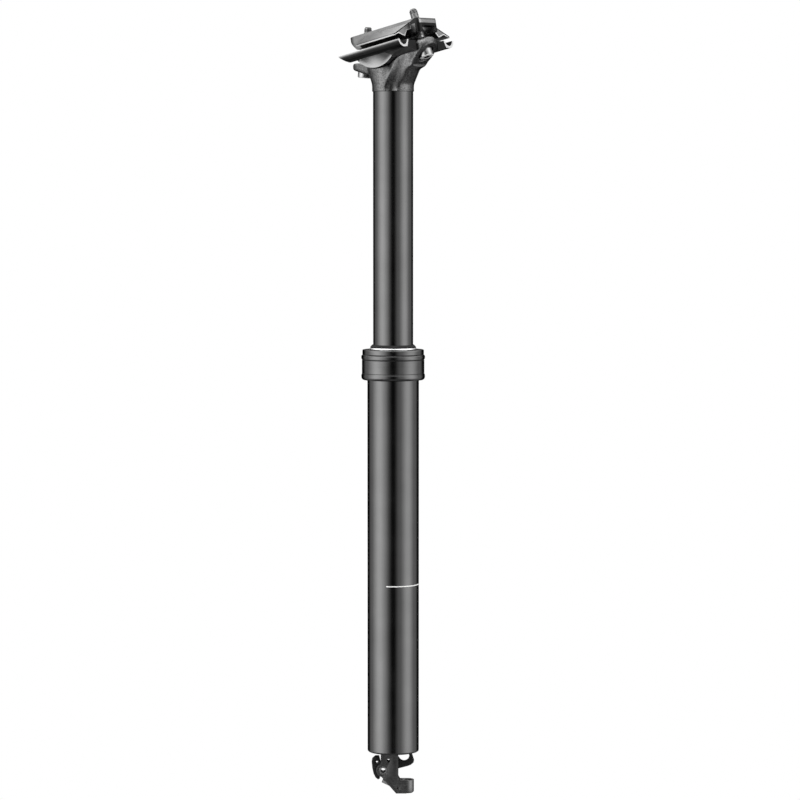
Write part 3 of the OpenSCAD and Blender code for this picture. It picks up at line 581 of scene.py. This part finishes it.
def upper_clamp_light_and_shade(at, facing, part):
    """Painted light and shade on the clamp: painted highlights on the bare edges facing down at the
    wings' rear ends, the wings' upper faces, rear end faces and lips' lower bands, and a band on
    the nose; painted shade on the wings' front faces, edges facing up, the lips above their line,
    the rest of the nose and its sides.
    """
    across = abs(at.y)
    on_wing = across > SPINE_HALF
    # Painted shade on the wings' faces that face forward.
    if on_wing and facing.x < -0.5:
        return MILLED_DARK
    # Painted light on the wings' rear end faces; painted highlight on their edges and borders that
    # face down, painted shade on those that face up.
    if on_wing and at.x > WING_REAR - 0.5:
        if part == "face":
            return MILLED_PAINTED_LIGHT
        return MILLED_PAINTED_SHADE if facing.z > 0.1 else CUT_EDGE_HIGHLIGHT
    # Painted highlight on the lips below their level, painted shade above it.
    if across > LIP_LINE:
        return MILLED_PAINTED_LIGHT if at.z < LIP_LEVEL else MILLED_PAINTED_SHADE
    # A painted light band at the top of the nose's rear face, painted shade on the rest of the
    # nose.
    if at.x > NOSE_AT:
        lit_band = facing.x > 0.8 and part == "face" and at.z > NOSE_BAND
        return MILLED_PAINTED_LIGHT if lit_band else MILLED_PAINTED_SHADE
    # Painted shade on the nose's sides.
    nose_side = at.x > NOSE_ROOT and NOSE_INNER < across < SPINE_HALF + 0.2
    if nose_side and abs(facing.y) > 0.5 and part == "face":
        return MILLED_PAINTED_SHADE
    # Painted light on the wings' faces that face up.
    return MILLED_PAINTED_LIGHT if on_wing and facing.z > 0.2 else MILLED


def cradle_light_and_shade(at, facing, part):
    """Painted light and shade on the cradle: painted highlights on the rail channels' bare rear
    ends and rims, painted light on the cheeks with painted highlights on their rims, painted light
    and shade down the channels' outer walls, and painted shade on the web's rear face and the
    undersides.
    """
    across = abs(at.y)
    # Painted highlight on the outer part of the channels' rear ends, painted shade on the web's
    # rear face.
    if at.x > CHANNEL_REAR - 0.4:
        out = Vector((0, across, at.z)) - CHANNEL_ROOT
        return CUT_EDGE_HIGHLIGHT if out.dot(CHANNEL_OUT) > 0 else MILLED_PAINTED_SHADE
    # Painted highlight on the channels' rims.
    if across > CHANNEL_RIM_AT and part == "edge" and at.z > CHANNEL_RIM_LOW:
        return MILLED_PAINTED_LIGHT
    # On the channels' outer walls, painted light at the top and painted shade at the bottom.
    if facing.y * at.y > 0.7 * across and across > CHANNEL_OUTER:
        if at.z > CHANNEL_LINE:
            return MILLED_PAINTED_LIGHT
        return MILLED if at.z > CHANNEL_SHADE else MILLED_DARK
    # Painted light on the cheeks, painted highlight on their rims.
    if CHEEK_IN < across < CHEEK_OUT:
        on_rim = part == "edge" and math.hypot(at.x, at.z) > CHEEK_RIM_R
        return CUT_EDGE_HIGHLIGHT if on_rim else MILLED_PAINTED_LIGHT
    # Painted shade on the undersides.
    return MILLED_PAINTED_SHADE if facing.z < -0.35 and across > CHANNEL_UNDERSIDE else MILLED


def actuator_light_and_shade(plain):
    """Painted shade on the edges, and bare walls in the holes, reamed after anodising, whose
    brightness is painted light that stands in for light through the holes.
    """
    def choose(at, facing, part):
        # Painted light on the holes' walls, and painted shade on the edges.
        for x, z, reach in ACTUATOR_LIT_HOLES:
            if abs(facing.y) < 0.5 and math.hypot(at.x - x, at.z - z) < reach:
                return BARE_ALUMINIUM
        return MILLED_PAINTED_SHADE if part == "edge" else plain

    return choose


def slant_channels(bm):
    """Cuts the rail channels' front ends back towards their undersides."""
    inverse = CLAMP_PLACE.inverted()
    back = CLAMP_PLACE.to_3x3() @ Vector((1, 0, 0))
    for v in bm.verts:
        at = (inverse @ v.co) / MM
        if at.x < CHANNEL_FRONT + 0.05 and abs(at.y) > CHANNEL_IN:
            v.co += back * (max(0.0, CHANNEL_FLOOR - at.z) * CHANNEL_SLANT * MM)


# Faces at the wings' rear ends, which get borders of painted highlight and shade.
def wing_end(at, facing):
    return facing.x > 0.95 and abs(at.y) > SPINE_HALF and at.x > WING_REAR - 0.5


def milled_piece(node_name, name, body, width, finishes, place, choose, reshape=None, seams=(),
                 bordered=None):
    """A machined CAD node with its edges broken. Its faces take their finish, with painted light
    and shade, from where they are and which way they face.

    Seams are points and directions of planes that part a face in two. Bordered tells which faces
    get a narrow border of their own, whose painted light and shade go by the way that the broken
    edge beside it faces.
    """
    bm = merged_copy(node_name)
    if reshape:
        reshape(bm)
    bmesh.ops.dissolve_limit(bm, angle_limit=math.radians(0.6), verts=bm.verts, edges=bm.edges,
                             use_dissolve_boundaries=False, delimit=set())
    for point, direction in seams:
        bmesh.ops.bisect_plane(bm, geom=bm.verts[:] + bm.edges[:] + bm.faces[:], dist=1e-7,
                               plane_co=place @ (Vector(point) * MM),
                               plane_no=place.to_3x3() @ Vector(direction))
    parts = {face: "edge" for face in soften(bm, width, 25)}
    inverse = place.inverted()

    def seen(face):
        side = face
        if parts.get(face) == "border":
            around = [other for e in face.edges for other in e.link_faces]
            side = next((other for other in around if parts.get(other) == "edge"), face)
        return (inverse @ face.calc_center_median()) / MM, inverse.to_3x3() @ side.normal

    if bordered:
        ends = [face for face in bm.faces if face not in parts and bordered(*seen(face))]
        for face in bmesh.ops.inset_region(bm, faces=ends, thickness=WING_BORDER * MM,
                                           use_even_offset=True)["faces"]:
            parts[face] = "border"
    for face in bm.faces:
        face.material_index = finishes.index(choose(*seen(face), parts.get(face, "face")))
    bmesh.ops.triangulate(bm, faces=[f for f in bm.faces if len(f.verts) > 4])
    as_piece(bm, name, body, finishes, [node_name], crease=35)


# Bolts


def thread_ridge(core):
    """The thread's ridge, wound up the shank to just below the tip."""
    bm = bmesh.new()
    low = BOLT_LENGTH - 0.6 - (THREAD_TURNS + 0.9) * THREAD_PITCH
    section = [(core - 0.05, 0.0), (BOLT_R, 0.33), (BOLT_R, 0.45), (core - 0.05, 0.78)]
    ring = [bm.verts.new((r * MM, 0, (low + z * THREAD_PITCH) * MM)) for r, z in section]
    bm.faces.new(ring)
    steps = 32
    bmesh.ops.spin(bm, geom=bm.verts[:] + bm.edges[:] + bm.faces[:], cent=(0, 0, 0),
                   axis=(0, 0, 1), dvec=(0, 0, THREAD_PITCH * MM / steps),
                   angle=2 * math.pi * THREAD_TURNS, steps=steps * THREAD_TURNS,
                   use_merge=False)
    bmesh.ops.recalc_face_normals(bm, faces=bm.faces)
    ridge = bpy.data.meshes.new("ridge")
    bm.to_mesh(ridge)
    bm.free()
    return ridge


def bolt(node_name, name, body, seat, lean):
    steps = 48
    core = BOLT_R - THREAD_DEPTH
    bm = bmesh.new()
    outline = [(BOLT_END_R, -BOLT_HEAD_H), (BOLT_HEAD_R - 0.15, -BOLT_HEAD_H + 0.1),
               (BOLT_HEAD_R, -BOLT_HEAD_H + 0.4), (BOLT_HEAD_R, -0.5), (BOLT_HEAD_R - 0.35, 0),
               (core, 0), (core, BOLT_LENGTH - 0.5), (core - 0.5, BOLT_LENGTH),
               (0, BOLT_LENGTH)]
    corners = [bm.verts.new((r * MM, 0, z * MM)) for r, z in outline]
    sides = [bm.edges.new(pair) for pair in zip(corners, corners[1:])]
    bmesh.ops.spin(bm, geom=corners + sides, cent=(0, 0, 0), axis=(0, 0, 1),
                   angle=2 * math.pi, steps=steps, use_merge=True)
    bmesh.ops.remove_doubles(bm, verts=bm.verts, dist=1e-6)
    # Hexagon socket in the head's end
    rim = [e for e in bm.edges if e.is_boundary]
    end = Matrix.Translation((0, 0, -BOLT_HEAD_H * MM))
    hexagon = bmesh.ops.create_circle(bm, cap_ends=False, segments=6, radius=SOCKET_R * MM,
                                      matrix=end)["verts"]
    hex_edges = list({e for v in hexagon for e in v.link_edges})
    bmesh.ops.subdivide_edges(bm, edges=hex_edges, cuts=steps // 6 - 1)
    mouth = [e for e in bm.edges if e.is_wire]
    bmesh.ops.bridge_loops(bm, edges=rim + mouth)
    wall = bmesh.ops.extrude_edge_only(bm, edges=mouth)
    floor = [v for v in wall["geom"] if isinstance(v, bmesh.types.BMVert)]
    bmesh.ops.translate(bm, verts=floor, vec=(0, 0, SOCKET_H * MM))
    bmesh.ops.contextual_create(bm, geom=[e for e in bm.edges if e.is_boundary])
    bmesh.ops.recalc_face_normals(bm, faces=bm.faces)
    bm.from_mesh(thread_ridge(core))
    finishes = [THREAD, BOLT_HEAD, NEAR_BLACK_STEEL, BOLT_END]
    for face in bm.faces:
        at = face.calc_center_median() / MM
        in_socket = math.hypot(at.x, at.y) < SOCKET_INSIDE and at.z < 0
        finish = THREAD
        # Painted shade inside the socket, near black like the tip; a painted highlight on the band
        # at the head's end.
        if in_socket or at.z > BOLT_LENGTH - BOLT_TIP_LENGTH:
            finish = NEAR_BLACK_STEEL
        elif at.z < BOLT_END_H - BOLT_HEAD_H:
            finish = BOLT_END
        elif at.z < 0.1:
            finish = BOLT_HEAD
        face.material_index = finishes.index(finish)
    bmesh.ops.transform(bm, matrix=bolt_frame(seat, lean), verts=bm.verts)
    as_piece(bm, name, body, finishes, [node_name], crease=30)


outer_post()
collar()
wiper_ring()
inner_tube()
return_spring()
forged_head()
CLAMP_FINISHES = [MILLED, MILLED_PAINTED_LIGHT, CUT_EDGE_HIGHLIGHT, MILLED_PAINTED_SHADE, MILLED_DARK]
milled_piece("upper_clamp", "upper_clamp_milled", "saddle_clamp", 0.3, CLAMP_FINISHES,
             CLAMP_PLACE, upper_clamp_light_and_shade,
             seams=[((0, 0, NOSE_BAND), (0, 0, 1)), ((0, LIP_LINE, 0), (0, 1, 0)),
                    ((0, -LIP_LINE, 0), (0, 1, 0))],
             bordered=wing_end)
milled_piece("lower_cradle", "lower_cradle_milled", "saddle_clamp", 0.25, CLAMP_FINISHES,
             CLAMP_PLACE, cradle_light_and_shade, slant_channels,
             [(CHANNEL_ROOT * mirror, CHANNEL_OUT * mirror)
              for mirror in (Vector((1, 1, 1)), Vector((1, -1, 1)))])
milled_piece("actuator_bracket", "actuator_bracket_milled", "outer_post", 0.25,
             [MILLED, MILLED_PAINTED_SHADE, BARE_ALUMINIUM], ACTUATOR_PLACE,
             actuator_light_and_shade(MILLED))
milled_piece("actuator_lever", "release_lever_milled", "release_lever", 0.25,
             [MILLED_DARK, MILLED_PAINTED_SHADE, BARE_ALUMINIUM], ACTUATOR_PLACE,
             actuator_light_and_shade(MILLED_DARK))
bolt("front_bolt", "front_bolt_threaded", "front_clamp_bolt", FRONT_SEAT, FRONT_LEAN)
bolt("rear_bolt", "rear_bolt_threaded", "rear_clamp_bolt", REAR_SEAT, REAR_LEAN)

# Stage


FLOOR_RADIUS, FLOOR_LEVEL = 0.9, -0.55


def stage_floor():
    """Floor that throws little light, and that the camera sees as white."""
    f = Finish("floor_backdrop", Base_Color=(0.1, 0.1, 0.1, 1), Roughness=0.9)
    rays = f.node("ShaderNodeLightPath", {}, {}, "Is Camera Ray")
    white = f.node("ShaderNodeEmission", {}, {"Color": (1, 1, 1, 1), "Strength": 1.0})
    surface = f.node("ShaderNodeMixShader", {}, {0: rays})
    f.tree.links.new(f.shader.outputs[0], surface.socket.node.inputs[1])
    f.tree.links.new(white.socket, surface.socket.node.inputs[2])
    f.tree.links.new(surface.socket, f.tree.nodes["Material Output"].inputs[0])
    bm = bmesh.new()
    bmesh.ops.create_circle(bm, cap_ends=True, segments=64, radius=FLOOR_RADIUS)
    bmesh.ops.translate(bm, verts=bm.verts, vec=(0, 0, FLOOR_LEVEL))
    mesh = bpy.data.meshes.new("floor")
    bm.to_mesh(mesh)
    bm.free()
    floor = bpy.data.objects.new("floor", mesh)
    bpy.context.scene.collection.objects.link(floor)
    mesh.materials.append(f.material)


def softbox(name, turn, rise, distance, width, radiance):
    """A square panel of even light that faces the post. Radiance is how bright it looks."""
    data = bpy.data.lights.new(name, "AREA")
    data.shape = "SQUARE"
    data.size = width
    data.energy = radiance * math.pi * width * width
    lamp = bpy.data.objects.new(name, data)
    bpy.context.scene.collection.objects.link(lamp)
    back = toward(turn, rise)
    lamp.location = back * distance
    lamp.rotation_mode = "QUATERNION"
    lamp.rotation_quaternion = back.to_track_quat("Z", "Y")
    lamp.visible_camera = False


# Two walls of soft light, left and right, in degrees away from the camera
WALL_NEAR, WALL_FAR, WALL_FADE = 8, 136, 18
WALL_LIGHT = 0.75
# A brighter panel on each wall: middle, half width, fade beyond it, and light
PANELS = [(-65, 7, 36, 2.6), (70, 7, 28, 1.95)]
OVERHEAD = 3.0


class Surround(Finish):
    """The studio's walls and ceiling of soft light, as the world's nodes."""

    def __init__(self):
        world = bpy.data.worlds.new("studio")
        bpy.context.scene.world = world
        world.use_nodes = True
        self.tree = world.node_tree
        self.shader = self.tree.nodes["Background"]
        self.shader.inputs["Color"].default_value = (1, 1, 1, 1)
        self.place = self.node("ShaderNodeTexCoord", {}, {}, "Generated")

    def share(self, direction):
        """How far a ray points along a direction."""
        return self.node("ShaderNodeVectorMath", {"operation": "DOT_PRODUCT"},
                         {0: self.place, 1: direction}, "Value")


def studio():
    f = Surround()
    seen = f.node("ShaderNodeLightPath", {}, {}, "Is Camera Ray")
    right, ahead = f.share(toward(90, 0)), f.share(toward(0, 0))
    turn = right.math("ARCTAN2", right, ahead) * math.degrees(1)
    away = abs(turn)
    light = (f.between(away, WALL_NEAR, WALL_NEAR + WALL_FADE, 0.0, WALL_LIGHT)
             * f.between(away, WALL_FAR - WALL_FADE, WALL_FAR, 1.0, 0.0))
    for middle, half, fade, level in PANELS:
        light = light + f.between(abs(turn - middle), half, half + fade, level, 0.0)
    up = f.share((0, 0, 1))
    walls = light * f.between(up, -0.6, -0.35, 0.0, 1.0)
    ceiling = f.between(up, 0.4, 0.75, 0.0, 1.0)
    studio_light = walls * (1 - ceiling) + ceiling * OVERHEAD
    f.feed("Strength", studio_light * (1 - seen) + seen)
    softbox("softbox_top", turn=-30, rise=60, distance=1.3, width=0.8, radiance=2.0)


def camera():
    data = bpy.data.cameras.new("camera")
    data.lens = LENS
    data.sensor_width = SENSOR
    data.clip_start = 0.05
    data.clip_end = 60
    eye = bpy.data.objects.new("camera", data)
    bpy.context.scene.collection.objects.link(eye)
    back = toward(0, VIEW_RISE)
    eye.location = VIEW_CENTRE + back * VIEW_DISTANCE
    eye.rotation_mode = "QUATERNION"
    eye.rotation_quaternion = (-back).to_track_quat("-Z", "Y")
    bpy.context.scene.camera = eye


stage_floor()
studio()
camera()
bpy.context.scene.view_settings.view_transform = "Standard"
